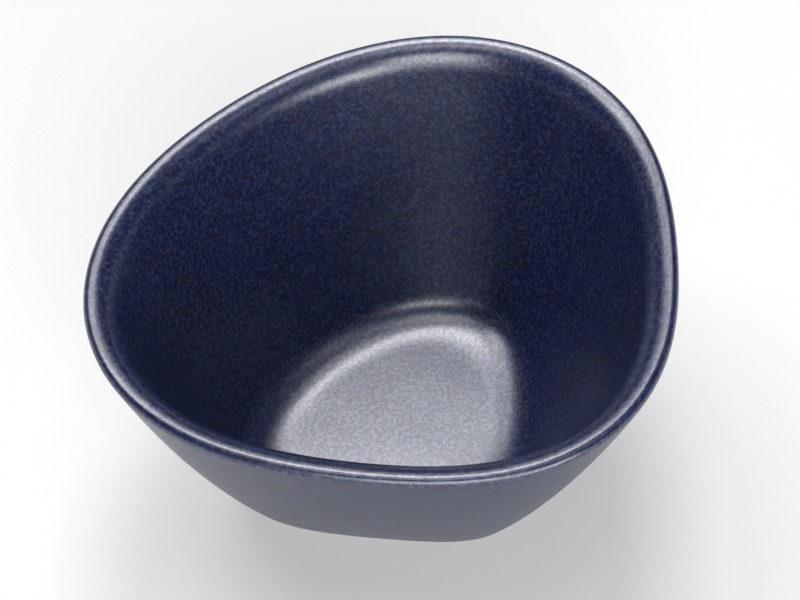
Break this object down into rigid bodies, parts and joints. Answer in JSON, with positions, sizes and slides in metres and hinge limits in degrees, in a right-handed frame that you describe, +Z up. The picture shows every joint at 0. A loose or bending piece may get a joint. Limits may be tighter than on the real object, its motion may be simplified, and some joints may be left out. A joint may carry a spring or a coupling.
{
  "type": "stoneware bowl",
  "caption": "Deep table bowl, a triangle with wide round corners in plan, with leaning walls, a thick soft lip and a flat ring foot, glazed inside and out.",
  "frame": {"origin": "on the table plane under the foot, at the middle of the outline seen from above", "axes": "+Z up through the mouth; X across the bowl between its two back corners, with the same plan on both sides; -Y towards the front corner; +Y towards the long flat side"},
  "size_m": [0.1464, 0.1324, 0.0755],
  "materials": {
    "fired_clay": "matte bare stoneware",
    "navy_glaze": "satin navy glaze with fine pale speckle"
  },
  "bodies": {
    "root": {"stoneware_body": "fired_clay", "glaze_coat": "navy_glaze", "base_glaze": "navy_glaze"}
  },
  "joints": []
}
